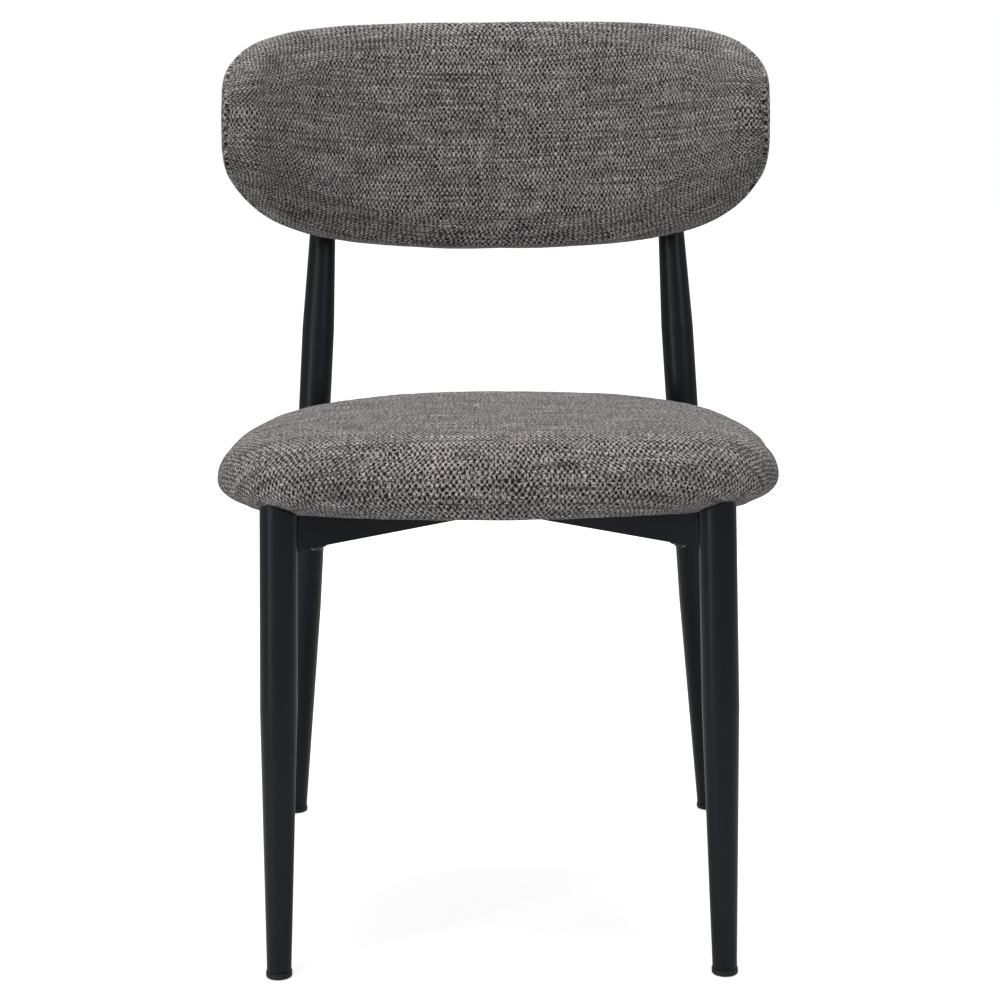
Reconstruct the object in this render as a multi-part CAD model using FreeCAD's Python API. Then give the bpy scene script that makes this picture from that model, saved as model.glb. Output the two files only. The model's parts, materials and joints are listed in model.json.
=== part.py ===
import FreeCAD, Part
import math
import os
from FreeCAD import Placement, Rotation, Vector

# Dining chair with a steel tube frame, a padded seat and a curved padded backrest.
# Millimetres. The origin is on the floor, under the middle of the chair's box.
# Up is +Z, the sitter faces -Y, and the sitter's left hand is on the +X side.

# ---- Overall sizes
chair_height = 823.5
chair_depth = 504.0

# ---- Seat cushion, fabric included
seat_width = 490.5
seat_length = 422.0
seat_height = 468.5          # floor to the middle of the crown
seat_thickness = 67.5        # crown to the flat underside
seat_crown = 6.5             # rise of the middle above the rounded edge
seat_bulge_height = 21.5     # underside to the line where the sides are widest
seat_widest_setback = 136.0  # front edge to the widest line
seat_front_squareness = 3.05
seat_rear_squareness = 2.4
seat_upper_squareness = 9.4
seat_lower_round = 37.0      # sideways reach of the rounding under the edge
seat_board_thickness = 12.0
seat_board_setback = 38.0    # board edge inside the cushion's outline
seat_hem_width = 30.0        # fabric turned in under the board

# ---- Backrest pad, fabric included
back_width = 514.0
back_inner_radius = 246.0
back_thickness = 44.0
back_tilt = 7.7              # degrees from upright
back_rise = 107.0            # widest line up to the top edge, along the pad
back_drop = 122.0            # widest line down to the bottom edge, along the pad
back_upper_squareness = 2.4
back_lower_squareness = 3.0
back_edge_squareness = 4.1
back_board_thickness = 10.0
back_board_setback = 16.0    # board edge inside the pad's outline
back_board_cover = 6.0       # foam between the board and the rear fabric

# ---- Fabric and fits
fabric_thickness = 1.5
foam_clearance = 0.2
weld_clearance = 0.2
plug_clearance = 0.25
hole_clearance = 0.3         # on the radius of every screw hole

# ---- Front legs
tube_radius = 16.0
tube_wall = 1.5
front_foot_radius = 10.5
front_taper_height = 235.0
front_foot_half_spacing = 193.0
front_top_half_spacing = 185.1
front_foot_setback = 23.5    # seat front edge to the foot's centre
front_leg_lean = 22.0        # the top stands this far behind the foot
front_top_rise = 14.0        # the top may rise this far into the cushion's rounded underside

# ---- Rear legs, each one tube from the floor to the backrest
rear_radius = 15.8
rear_foot_radius = 11.0
rear_taper_height = 235.0
rear_foot_half_spacing = 220.3
rear_knee_half_spacing = 183.4
post_inward_lean = 0.0577    # sideways lean above the knee, for each millimetre of height
rear_foot_rake = 68.0        # the foot stands this far behind the knee
knee_height = 455.0
knee_bend_radius = 120.0
post_taper_height = 522.0
post_top_drop = 7.65         # top of the post below the widest line of the pad
post_top_radius = 8.5
post_to_pad_gap = 2.0

# ---- Rails under the seat
rail_width = 20.0
rail_height = 30.0
rail_wall = 1.5

# ---- Feet and plugs
glide_height = 5.0
glide_overhang = 0.9
glide_edge = 1.6
glide_line_height = 3.0      # groove round the glide, under its rim
glide_line_width = 0.5
glide_line_depth = 0.45
glide_spigot = 14.0
plug_depth = 12.0
cap_dome = 4.0

# ---- M6 hardware
screw_radius = 3.0
head_radius = 5.5
head_height = 3.6
hex_across_flats = 4.0
hex_depth = 2.0
washer_radius = 8.5
washer_thickness = 1.5
nut_flange_radius = 9.5
nut_flange_thickness = 1.2
nut_barrel_radius = 3.9
nut_barrel_length = 9.0
front_screw_distance = 42.0  # leg axis to screw, along the rail
rear_screw_distance = 120.0
seat_screw_length = 40.0
back_bolt_heights = (-70.0, -10.0)   # along the pad, from its widest line
saddle_radius = 7.0
saddle_thickness = 1.5

# ---- Worked-out heights and places
frame_top = seat_height - seat_thickness
rail_bottom = frame_top - rail_height
board_bottom = frame_top + fabric_thickness
board_top = board_bottom + seat_board_thickness
seat_front = -chair_depth / 2
seat_widest_line = seat_front + seat_widest_setback
front_foot_line = seat_front + front_foot_setback
pad_middle_radius = back_inner_radius + back_thickness / 2
board_outer_radius = back_inner_radius + back_thickness - fabric_thickness - back_board_cover
board_inner_radius = board_outer_radius - back_board_thickness
UP = Vector(0, 0, 1)


# ---- Small makers

def turned(profile, base=Vector(0, 0, 0), direction=UP):
    """Solid of revolution from (radius, height) points, stood on base along direction."""
    points = [Vector(radius, 0, height) for radius, height in profile]
    face = Part.Face(Part.makePolygon(points + [points[0]]))
    solid = face.revolve(Vector(0, 0, 0), UP, 360)
    solid.Placement = Placement(base, Rotation(UP, direction))
    return solid


def tube(profile, wall, base, direction):
    """Hollow revolution: the profile's outside, less a wall."""
    inside = [(radius - wall, height) for radius, height in reversed(profile)]
    return turned(list(profile) + inside, base, direction)


def rod(radius, start, end):
    """Plain cylinder between two points."""
    return Part.makeCylinder(radius, (end - start).Length, start, end - start)


def slab(low, high):
    """Wide horizontal layer between two heights."""
    reach = 2 * chair_height
    return Part.makeBox(2 * reach, 2 * reach, high - low, Vector(-reach, -reach, low))


def closed_curve(points):
    """Smooth closed wire, evenly parametrised so that like wires loft cleanly."""
    curve = Part.BSplineCurve()
    curve.interpolate(Points=points, PeriodicFlag=True,
                      Parameters=[float(i) for i in range(len(points) + 1)])
    return Part.Wire(curve.toShape())


def signed_power(value, exponent):
    return math.copysign(abs(value) ** exponent, value)


def save(name, *solids):
    shape = solids[0] if len(solids) == 1 else Part.makeCompound(list(solids))
    shape.exportStep("parts/" + name + ".step")
    print(name, len(shape.Solids), "solids", round(shape.Volume), "mm3", shape.isValid())


# ---- Seat cushion

def seat_outline(share, height, inset=0.0):
    """Plan outline of the cushion: a rounded D, scaled about its widest line."""
    points = []
    for step in range(48):
        angle = 2 * math.pi * (step + 0.5) / 48
        across, along = math.cos(angle), math.sin(angle)
        if along < 0:
            power, reach = 2 / seat_front_squareness, seat_widest_setback
        else:
            power, reach = 2 / seat_rear_squareness, seat_length - seat_widest_setback
        x = (seat_width / 2 - inset) * share * signed_power(across, power)
        y = (reach - inset) * share * signed_power(along, power)
        points.append(Vector(x, seat_widest_line + y, height))
    return closed_curve(points)


def seat_body(inset, bottom):
    """Cushion solid, set in from the fabric's outside, flat at the given bottom."""
    widest = frame_top + seat_bulge_height
    lower = widest - bottom
    upper = seat_thickness - seat_bulge_height - seat_crown - inset
    sections = []
    for drop in (1.0, 0.98, 0.92, 0.8, 0.62, 0.4, 0.2):
        tuck = (seat_lower_round - inset) * (1 - math.sqrt(1 - drop ** 2))
        sections.append(seat_outline(1.0, widest - lower * drop, inset + tuck))
    for rise in (0.0, 0.32, 0.58, 0.77, 0.89, 0.955, 0.985):
        share = (1 - rise ** 2) ** (1 / seat_upper_squareness)
        height = widest + upper * rise + seat_crown * (1 - share ** 2)
        sections.append(seat_outline(share, height, inset))
    for share in (0.58, 0.46, 0.34, 0.22):
        height = widest + upper + seat_crown * (1 - share ** 2)
        sections.append(seat_outline(share, height, inset))
    return Part.makeLoft(sections, True)


def seat_sheet(inset, bottom, thickness):
    """Flat sheet with the cushion's outline."""
    face = Part.Face(seat_outline(1.0, bottom, inset))
    return face.extrude(Vector(0, 0, thickness))


cushion_room = seat_body(-weld_clearance, frame_top - weld_clearance)


# ---- Backrest pad, made upright about its own axis and then tilted

def pad_end_angle(inset=0.0):
    """Angle to the pad's tip, and to where its rounded end starts."""
    round_end = back_thickness / 2
    start = math.asin((back_width / 2 - round_end) / pad_middle_radius)
    return start + (round_end - inset) / pad_middle_radius, start


def pad_half_heights(angle, inset=0.0):
    """Reach above and below the widest line at this angle round the pad."""
    share = min(abs(angle) / pad_end_angle(inset)[0], 1.0)
    up = (back_rise - inset) * (1 - share ** back_upper_squareness) ** (1 / back_upper_squareness)
    down = (back_drop - inset) * (1 - share ** back_lower_squareness) ** (1 / back_lower_squareness)
    return up, down


def pad_half_thickness(angle, inset=0.0):
    tip, start = pad_end_angle(inset)
    into_end = max(abs(angle) - start, 0.0) / (tip - start)
    return (back_thickness / 2 - inset) * math.sqrt(max(1 - into_end ** 2, 0.0))


def pad_surface_radius(angle, height):
    """Radius of the pad's rear face."""
    up, down = pad_half_heights(angle)
    share = abs(height - (up - down) / 2) / ((up + down) / 2)
    edge = (1 - share ** back_edge_squareness) ** (1 / back_edge_squareness)
    return pad_middle_radius + pad_half_thickness(angle) * edge


def pad_place(angle, radius, height):
    """Point of the upright pad."""
    return Vector(radius * math.sin(angle), radius * math.cos(angle), height)


def pad_body(inset):
    """Pad solid, set in from the fabric's outside."""
    tip = pad_end_angle(inset)[0]
    sections = []
    for turn in range(-84, 85, 12):
        angle = tip * math.sin(math.radians(turn))
        up, down = pad_half_heights(angle, inset)
        half = pad_half_thickness(angle, inset)
        points = []
        for step in range(28):
            side = 2 * math.pi * (step + 0.5) / 28
            power = 2 / back_edge_squareness
            radius = pad_middle_radius + half * signed_power(math.cos(side), power)
            height = (up - down) / 2 + (up + down) / 2 * signed_power(math.sin(side), power)
            points.append(pad_place(angle, radius, height))
        sections.append(closed_curve(points))
    return Part.makeLoft(sections, True)


def pad_board(clearance):
    """Curved plywood in the pad, or the pocket for it."""
    setback = back_board_setback - clearance
    tip = pad_end_angle()[1] - setback / pad_middle_radius / 2
    inner = board_inner_radius - clearance
    outer = board_outer_radius + clearance
    sections = []
    for turn in range(-75, 76, 15):
        angle = tip * math.sin(math.radians(turn))
        share = abs(angle) / tip
        up = (back_rise - setback) * (1 - share ** back_upper_squareness) ** (1 / back_upper_squareness)
        down = (back_drop - setback) * (1 - share ** back_lower_squareness) ** (1 / back_lower_squareness)
        corners = [(inner, -down), (outer, -down), (outer, up), (inner, up), (inner, -down)]
        sections.append(Part.makePolygon([pad_place(angle, r, h) for r, h in corners]))
    return Part.makeLoft(sections, True)


pad_turn = Rotation(Vector(1, 0, 0), -back_tilt)
upright_pad = pad_body(0.0)
tilted_pad = upright_pad.copy()
tilted_pad.Placement = Placement(Vector(0, 0, 0), pad_turn)
pad_box = tilted_pad.optimalBoundingBox(False)
pad_origin = Vector(0, chair_depth / 2 - pad_box.YMax, chair_height - pad_box.ZMax)
pad_placement = Placement(pad_origin, pad_turn)
post_top_height = pad_origin.z - post_top_drop


def on_chair(shape):
    """The same shape, tilted and lifted to its place on the chair."""
    shape.Placement = pad_placement
    return shape


def pad_point(angle, radius, height):
    return pad_placement.multVec(pad_place(angle, radius, height))


# ---- Rear legs: the post is placed so that it keeps its gap to the pad at both bolts

def rear_half_spacing(height):
    if height > knee_height:
        return rear_knee_half_spacing - post_inward_lean * (height - knee_height)
    share = height / knee_height
    return rear_foot_half_spacing + (rear_knee_half_spacing - rear_foot_half_spacing) * share


def post_radius(height):
    share = (height - post_taper_height) / (post_top_height - post_taper_height)
    return rear_radius + (post_top_radius - rear_radius) * min(max(share, 0.0), 1.0)


def post_bolt(height_on_pad):
    """Angle round the pad and radius of the post's axis, level with one bolt."""
    angle, radius = 0.6, pad_middle_radius
    for _ in range(12):
        level = pad_point(angle, radius, height_on_pad).z
        radius = pad_surface_radius(angle, height_on_pad) + post_to_pad_gap + post_radius(level)
        angle = math.asin(rear_half_spacing(level) / radius)
    return angle, radius


bolt_places = [post_bolt(height) + (height,) for height in back_bolt_heights]
post_low, post_high = [pad_point(*place) for place in bolt_places]


def along_post(height):
    """Point of the left post's axis at a height."""
    return post_low + (post_high - post_low) * ((height - post_low.z) / (post_high.z - post_low.z))


knee = along_post(knee_height)
rear_foot = Vector(rear_half_spacing(0.0), knee.y + rear_foot_rake, 0)
front_foot = Vector(front_foot_half_spacing, front_foot_line, 0)
front_top = Vector(front_top_half_spacing, front_foot_line + front_leg_lean, frame_top)


def mirrored(point, side):
    """A point of the left side, or its twin on the right for side -1."""
    return Vector(side * point.x, point.y, point.z)


def between_heights(start, end, low, high):
    """The stretch of a line, long both ways, that covers two heights."""
    direction = (end - start).normalize()
    return start + direction * (low / direction.z), direction, (high - low) / direction.z


def front_leg_tube(side, grow=0.0, hollow=True):
    start, end = mirrored(front_foot, side), mirrored(front_top, side)
    base, direction, length = between_heights(start, end, -20, frame_top + 2 * front_top_rise)
    taper = (front_taper_height + 20) / direction.z
    foot = front_foot_radius + grow - 20 * (tube_radius - front_foot_radius) / front_taper_height
    profile = [(foot, 0), (tube_radius + grow, taper), (tube_radius + grow, length)]
    if hollow:
        solid = tube(profile, tube_wall, base, direction)
    else:
        solid = turned([(0, 0)] + profile + [(0, length)], base, direction)
    return solid.common(slab(glide_height, frame_top + front_top_rise)).cut(cushion_room)


def bend(start, direction, new_direction, outer, inner):
    """Quarter-ring piece of tube that turns from one direction to the next."""
    axis = direction.cross(new_direction).normalize()
    turn = math.degrees(direction.getAngle(new_direction))
    centre = start + axis.cross(direction) * knee_bend_radius
    rim = Part.Wire(Part.makeCircle(outer, start, direction))
    face = Part.Face(rim)
    if inner > 0:
        bore = Part.Face(Part.Wire(Part.makeCircle(inner, start, direction)))
        face = face.cut(bore)
    return face.revolve(centre, axis, turn)


def rear_leg_tube(side, grow=0.0, hollow=True):
    """Foot, taper, straight, knee bend, straight and tapered post, in one tube."""
    foot, corner = mirrored(rear_foot, side), mirrored(knee, side)
    rise = (corner - foot).normalize()
    post = mirrored(post_high - post_low, side).normalize()
    reach = knee_bend_radius * math.tan(rise.getAngle(post) / 2)
    wall = tube_wall if hollow else 0.0
    radius = rear_radius + grow

    below = foot - rise * (20 / rise.z)
    foot_radius = rear_foot_radius + grow - 20 * (rear_radius - rear_foot_radius) / rear_taper_height
    low_length = (corner - below).Length - reach
    low = [(foot_radius, 0), (radius, (rear_taper_height + 20) / rise.z), (radius, low_length)]

    bend_end = corner + post * reach
    taper_start = (post_taper_height - bend_end.z) / post.z
    high_length = (post_top_height - bend_end.z) / post.z
    high = [(radius, 0), (radius, taper_start), (post_top_radius + grow, high_length)]

    if hollow:
        pieces = [tube(low, wall, below, rise), tube(high, wall, bend_end, post)]
    else:
        pieces = [turned([(0, 0)] + low + [(0, low_length)], below, rise),
                  turned([(0, 0)] + high + [(0, high_length)], bend_end, post)]
    middle = bend(corner - rise * reach, rise, post, radius, radius - tube_wall if hollow else 0)
    whole = pieces[0].fuse([middle, pieces[1]]).removeSplitter()
    return whole.common(slab(glide_height, chair_height))


# ---- Rails, cut to the round of each tube

def rail_axis(side):
    """Plan line of the rail from the front leg on this side to the far rear leg."""
    level = frame_top - rail_height / 2
    front = front_foot + (front_top - front_foot) * (level / front_top.z)
    rear = rear_foot + (knee - rear_foot) * (level / knee.z)
    return mirrored(front, side), mirrored(rear, -side)


def rail_bar(start, end, grow=0.0):
    """Solid bar of the rail's outside section, or larger by grow."""
    width, height = rail_width + 2 * grow, rail_height + 2 * grow
    length = (end - start).Length
    bar = Part.makeBox(length, width, height, Vector(0, -width / 2, -height / 2))
    heading = math.degrees(math.atan2(end.y - start.y, end.x - start.x))
    bar.Placement = Placement(start, Rotation(UP, heading))
    return bar


def rail_screw_points(side):
    front, rear = rail_axis(side)
    heading = (rear - front).normalize()
    return [front + heading * front_screw_distance, rear - heading * rear_screw_distance]


def at_height(point, height):
    return Vector(point.x, point.y, height)


def rail_tube(start, end, cutters, screw_points):
    tube_solid = rail_bar(start, end).cut(rail_bar(start, end, -rail_wall))
    holes = [rod(screw_radius + hole_clearance, at_height(p, rail_bottom - 1), at_height(p, frame_top + 1))
             for p in screw_points]
    return tube_solid.cut(list(cutters) + holes)


# ---- Hardware

def socket_screw(length):
    """Button-head screw, head below, shank up from the origin."""
    crown = head_radius * 0.62
    screw = turned([(0, -head_height), (crown, -head_height), (head_radius, -head_height * 0.35),
                    (head_radius, 0), (screw_radius, 0), (screw_radius, length - 1),
                    (screw_radius - 1, length), (0, length)])
    corner = hex_across_flats / math.sqrt(3)
    ring = [Vector(corner * math.cos(math.radians(60 * k)), corner * math.sin(math.radians(60 * k)), -head_height)
            for k in range(7)]
    socket = Part.Face(Part.makePolygon(ring)).extrude(Vector(0, 0, hex_depth))
    return screw.cut(socket)


def tee_nut():
    """Flanged nut: the flange's underside is at the origin, the barrel hangs below."""
    bore = screw_radius + plug_clearance
    return turned([(bore, -nut_barrel_length), (nut_barrel_radius, -nut_barrel_length), (nut_barrel_radius, 0),
                   (nut_flange_radius, 0), (nut_flange_radius, nut_flange_thickness), (bore, nut_flange_thickness)])


def placed(shape, base, direction):
    shape.Placement = Placement(base, Rotation(UP, direction))
    return shape


os.makedirs("parts", exist_ok=True)
SIDES = (("left", 1), ("right", -1))
seat_screw_places = [p for _, side in SIDES for p in rail_screw_points(side)]

# Frame: four tubes and an X of rails welded between them.
front_solid = {side: front_leg_tube(side, weld_clearance, hollow=False) for _, side in SIDES}
rear_solid = {side: rear_leg_tube(side, weld_clearance, hollow=False) for _, side in SIDES}
post_bolts = {}
for name, side in SIDES:
    post_bolts[side] = []
    for angle, radius, height in bolt_places:
        axis_point = mirrored(pad_point(angle, radius, height), side)
        inward = mirrored(pad_point(angle, 0, height) - pad_point(angle, radius, height), side).normalize()
        post_bolts[side].append((axis_point, inward, radius, post_radius(axis_point.z)))
    holes = [rod(screw_radius + hole_clearance, p - inward * 30, p + inward * 30)
             for p, inward, _, _ in post_bolts[side]]
    save("front_leg_" + name, front_leg_tube(side))
    save("rear_leg_" + name, rear_leg_tube(side).cut(holes))

long_front, long_rear = rail_axis(1)
short_front, short_rear = rail_axis(-1)
cross_share = long_front.x / (long_front.x - long_rear.x)
crossing = long_front + (long_rear - long_front) * cross_share
long_solid = rail_bar(long_front, long_rear, weld_clearance)
legs = [front_solid[1], front_solid[-1], rear_solid[1], rear_solid[-1]]
short_points = rail_screw_points(-1)
save("cross_rail_long", rail_tube(long_front, long_rear, legs, rail_screw_points(1)))
save("cross_rail_short_front", rail_tube(short_front, crossing, legs + [long_solid], short_points[:1]))
save("cross_rail_short_rear", rail_tube(crossing, short_rear, legs + [long_solid], short_points[1:]))

# Feet and plugs.
for name, side in SIDES:
    for place, foot, top, foot_radius in (("front", front_foot, front_top, front_foot_radius),
                                          ("rear", rear_foot, knee, rear_foot_radius)):
        base, direction, length = between_heights(mirrored(foot, side), mirrored(top, side), -10,
                                                  glide_height + glide_spigot)
        flange = turned([(0, 0), (foot_radius + glide_overhang, 0), (foot_radius + glide_overhang, length), (0, length)],
                        base, direction).common(slab(0, glide_height))
        flange = flange.makeFillet(glide_edge, [e for e in flange.Edges if abs(e.BoundBox.ZMax) < 0.01])
        core = turned([(0, 0), (foot_radius + glide_overhang - glide_line_depth, 0),
                       (foot_radius + glide_overhang - glide_line_depth, length), (0, length)], base, direction)
        flange = flange.cut(slab(glide_line_height, glide_line_height + glide_line_width).cut(core))
        spigot_radius = foot_radius - tube_wall - plug_clearance
        spigot = turned([(0, 0), (spigot_radius, 0), (spigot_radius, length), (0, length)],
                        base, direction).common(slab(glide_height / 2, chair_height))
        save("foot_glide_" + place + "_" + name, flange.fuse(spigot).removeSplitter())

    plug_radius = tube_radius - tube_wall - plug_clearance
    start, direction, length = between_heights(mirrored(front_foot, side), mirrored(front_top, side),
                                               frame_top - plug_depth, frame_top + 2 * front_top_rise)
    plug = turned([(0, 0), (plug_radius, 0), (plug_radius, length), (0, length)], start, direction)
    save("front_leg_plug_" + name, plug.common(slab(0, frame_top + front_top_rise)).cut(cushion_room))

    post_top = mirrored(along_post(post_top_height), side)
    post_direction = mirrored(post_high - post_low, side).normalize()
    cap_stem = post_top_radius - tube_wall - plug_clearance
    cap = turned([(0, -plug_depth), (cap_stem, -plug_depth), (cap_stem, 0), (post_top_radius, 0),
                  (post_top_radius * 0.93, cap_dome * 0.5), (post_top_radius * 0.68, cap_dome * 0.86), (0, cap_dome)],
                 post_top, post_direction)
    save("rear_post_plug_" + name, cap)

# Seat: board, foam, fabric and dust cover, held down by four screws.
screw_holes = [rod(screw_radius + hole_clearance, at_height(p, rail_bottom), at_height(p, board_top))
               for p in seat_screw_places]
nut_holes = [rod(nut_barrel_radius + foam_clearance, at_height(p, board_bottom - 1), at_height(p, board_top + 1))
             for p in seat_screw_places]
nut_pockets = [rod(nut_flange_radius + foam_clearance, at_height(p, board_top - 1),
                   at_height(p, board_top + nut_flange_thickness + foam_clearance)) for p in seat_screw_places]
board = seat_sheet(seat_board_setback, board_bottom, seat_board_thickness)
board_pocket = seat_sheet(seat_board_setback - foam_clearance, frame_top, board_top - frame_top)
hem_opening = seat_sheet(seat_hem_width + seat_board_setback, frame_top - 1, fabric_thickness + 2)
save("seat_board", board.cut(nut_holes))
save("seat_foam", seat_body(fabric_thickness + foam_clearance, board_bottom + foam_clearance)
     .cut([board_pocket] + nut_pockets))
save("seat_cover", seat_body(0.0, frame_top)
     .cut([seat_body(fabric_thickness, board_bottom), hem_opening] + screw_holes))
dust_cover = seat_sheet(seat_hem_width + seat_board_setback + foam_clearance, frame_top, fabric_thickness)
save("seat_dust_cover", dust_cover.cut(screw_holes))
save("seat_t_nuts", *[placed(tee_nut(), at_height(p, board_top), UP) for p in seat_screw_places])
save("seat_washers", *[turned([(screw_radius + plug_clearance, -washer_thickness), (washer_radius, -washer_thickness),
                               (washer_radius, 0), (screw_radius + plug_clearance, 0)], at_height(p, rail_bottom))
                       for p in seat_screw_places])
save("seat_screws", *[placed(socket_screw(seat_screw_length), at_height(p, rail_bottom - washer_thickness), UP)
                      for p in seat_screw_places])

# Backrest: curved board, foam and fabric, held by two bolts through each post.
bolt_paths, nut_paths, flange_paths = [], [], []
nuts, bolts, spacers, washers = [], [], [], []
pad_room = on_chair(pad_body(-foam_clearance))
for _, side in SIDES:
    post_solid = rear_leg_tube(side, foam_clearance, hollow=False)
    for point, inward, radius, local_radius in post_bolts[side]:
        to_board = radius - board_inner_radius
        nut_seat = point + inward * to_board
        head_seat = point - inward * (local_radius + saddle_thickness + foam_clearance)
        bolt_paths.append(rod(screw_radius + hole_clearance, head_seat, nut_seat))
        nut_paths.append(rod(nut_barrel_radius + foam_clearance, nut_seat - inward * (back_board_thickness + 2),
                             nut_seat + inward))
        flange_paths.append(rod(nut_flange_radius + foam_clearance, nut_seat - inward,
                                nut_seat + inward * (nut_flange_thickness + 3 * foam_clearance)))
        nuts.append(placed(tee_nut(), nut_seat + inward * foam_clearance, inward))
        bolts.append(placed(socket_screw((nut_seat - head_seat).Length), head_seat, inward))
        pad_face = point + inward * (local_radius + 2 * post_to_pad_gap)
        hole = rod(screw_radius + plug_clearance, head_seat - inward, nut_seat)
        spacers.append(rod(saddle_radius, point, pad_face).cut([post_solid, hole, pad_room]))
        washers.append(rod(saddle_radius, head_seat, point).cut([post_solid, hole]))

save("back_board", on_chair(pad_board(0.0)).cut(nut_paths))
save("back_foam", on_chair(pad_body(fabric_thickness + foam_clearance))
     .cut([on_chair(pad_board(foam_clearance))] + bolt_paths + flange_paths))
save("back_cover", on_chair(upright_pad.copy()).cut([on_chair(pad_body(fabric_thickness))] + bolt_paths))
save("back_t_nuts", *nuts)
save("back_bolts", *bolts)
save("back_spacers", *spacers)
save("back_washers", *washers)
print("knee", knee, "rear foot", rear_foot, "pad origin", pad_origin)
print("post recline", math.degrees(math.atan2(post_high.y - post_low.y, post_high.z - post_low.z)))
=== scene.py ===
"""Looks of a dining chair: woven seat cushion and backrest, satin black tube frame, feet and fastenings."""

import math

import bpy
import numpy as np
from bpy.props import FloatProperty, FloatVectorProperty, IntProperty, PointerProperty
from mathutils import Matrix, Vector
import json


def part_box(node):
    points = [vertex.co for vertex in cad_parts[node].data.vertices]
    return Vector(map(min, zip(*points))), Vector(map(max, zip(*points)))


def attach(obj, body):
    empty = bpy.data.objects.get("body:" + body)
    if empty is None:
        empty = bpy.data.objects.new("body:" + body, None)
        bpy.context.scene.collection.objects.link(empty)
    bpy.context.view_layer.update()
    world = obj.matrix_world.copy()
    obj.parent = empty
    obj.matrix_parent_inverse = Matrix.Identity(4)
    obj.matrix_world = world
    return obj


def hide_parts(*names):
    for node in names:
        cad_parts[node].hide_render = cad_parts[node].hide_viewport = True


bl_info = {
    "name": "Upholstered dining chair",
    "version": (1, 0, 0),
    "blender": (4, 5, 0),
    "location": "View3D > Sidebar > Chair",
    "description": "Builds the cushions, finishes and studio of a dining chair around its packed frame",
    "category": "Add Mesh",
}

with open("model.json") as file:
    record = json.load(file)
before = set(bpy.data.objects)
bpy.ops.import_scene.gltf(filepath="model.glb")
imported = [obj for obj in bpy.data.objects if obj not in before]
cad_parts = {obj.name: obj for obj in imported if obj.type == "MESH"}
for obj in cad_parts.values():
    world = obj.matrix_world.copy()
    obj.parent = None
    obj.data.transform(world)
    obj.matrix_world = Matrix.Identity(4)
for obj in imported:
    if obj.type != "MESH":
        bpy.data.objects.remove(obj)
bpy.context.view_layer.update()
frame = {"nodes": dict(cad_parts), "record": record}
MM = 0.001

SEAT_LOW, SEAT_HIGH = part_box("seat_cover")
BACK_LOW, BACK_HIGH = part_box("back_cover")
FEET_LOW, FEET_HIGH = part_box("foot_glide_front_left")
RAIL_LOW, RAIL_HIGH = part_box("cross_rail_long")
COLUMNS = 480
# Axes of the left front leg and of the left rear leg below its knee, each from its foot.
LEG_AXES = (((0.193, -0.2285, 0.0), (0.1851, -0.2065, 0.401)),
            ((0.2203, 0.23319, 0.0), (0.1834, 0.16519, 0.455)))


# ---- Sizes and colours that a user would change

class SeatSizes(bpy.types.PropertyGroup):
    """Shape of the seat cushion"""

    width: FloatProperty(
        name="Width", description="Side to side over the fabric", default=490.5 * MM, unit="LENGTH")
    widest_setback: FloatProperty(
        name="Widest line", description="Front edge to the widest line", default=136 * MM, unit="LENGTH")
    bulge_height: FloatProperty(
        name="Bulge height", description="Underside to the widest line", default=20 * MM, unit="LENGTH")
    crown: FloatProperty(
        name="Crown", description="Rise of the middle above the rounded edge", default=6.5 * MM, unit="LENGTH")
    lower_round: FloatProperty(
        name="Lower rounding", description="Sideways reach of the rounding under the edge",
        default=33.5 * MM, unit="LENGTH")
    hem: FloatProperty(
        name="Hem", description="Fabric turned in under the seat", default=32.5 * MM, unit="LENGTH")
    front_squareness: FloatProperty(
        name="Front squareness", description="Power of the front half of the plan", default=3.05)
    rear_squareness: FloatProperty(
        name="Rear squareness", description="Power of the rear half of the plan", default=2.42)
    upper_squareness: FloatProperty(
        name="Edge squareness", description="Power of the upper edge's profile", default=9.4)
    puff: FloatProperty(
        name="Puff", description="How far the simulated filling may move the fabric",
        default=3 * MM, unit="LENGTH")


class BackSizes(bpy.types.PropertyGroup):
    """Shape of the backrest pad"""

    thickness: FloatProperty(
        name="Thickness", description="Front fabric to rear fabric", default=44 * MM, unit="LENGTH")
    inner_radius: FloatProperty(
        name="Inner radius", description="Radius of the face that the sitter leans on",
        default=246 * MM, unit="LENGTH")
    tilt: FloatProperty(
        name="Tilt", description="Backward lean", default=math.radians(7.7), unit="ROTATION")
    width: FloatProperty(
        name="Width", description="Tip to tip", default=514.5 * MM, unit="LENGTH")
    rise: FloatProperty(
        name="Rise", description="Widest line to the top edge", default=107 * MM, unit="LENGTH")
    drop: FloatProperty(
        name="Drop", description="Widest line to the bottom edge", default=121.5 * MM, unit="LENGTH")
    upper_squareness: FloatProperty(
        name="Upper squareness", description="Power of the upper outline", default=2.42)
    lower_squareness: FloatProperty(
        name="Lower squareness", description="Power of the lower outline", default=2.93)
    edge_squareness: FloatProperty(
        name="Edge squareness", description="Power of the pad's section", default=4.1)
    puff: FloatProperty(
        name="Puff", description="How far the simulated filling may move the fabric",
        default=2.5 * MM, unit="LENGTH")


class FabricLook(bpy.types.PropertyGroup):
    """Weave and colours of the upholstery"""

    pitch: FloatProperty(
        name="Pitch", description="One light and one dark float along a row", default=4.8 * MM, unit="LENGTH")
    row: FloatProperty(
        name="Row", description="Height of one row of floats", default=3.5 * MM, unit="LENGTH")
    light: FloatVectorProperty(
        name="Light yarn", description="Colour of the yarn", subtype="COLOR", size=3,
        default=(0.330, 0.307, 0.309), min=0.0, max=1.0)
    # Gap colour: painted shade, near-black where the shade falls down in the holes between the floats.
    dark: FloatVectorProperty(
        name="Gaps", description="Colour down between the floats", subtype="COLOR", size=3,
        default=(0.010, 0.009, 0.011), min=0.0, max=1.0)
    relief: FloatProperty(
        name="Relief", description="Height of the floats", default=1.1 * MM, unit="LENGTH")


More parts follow.
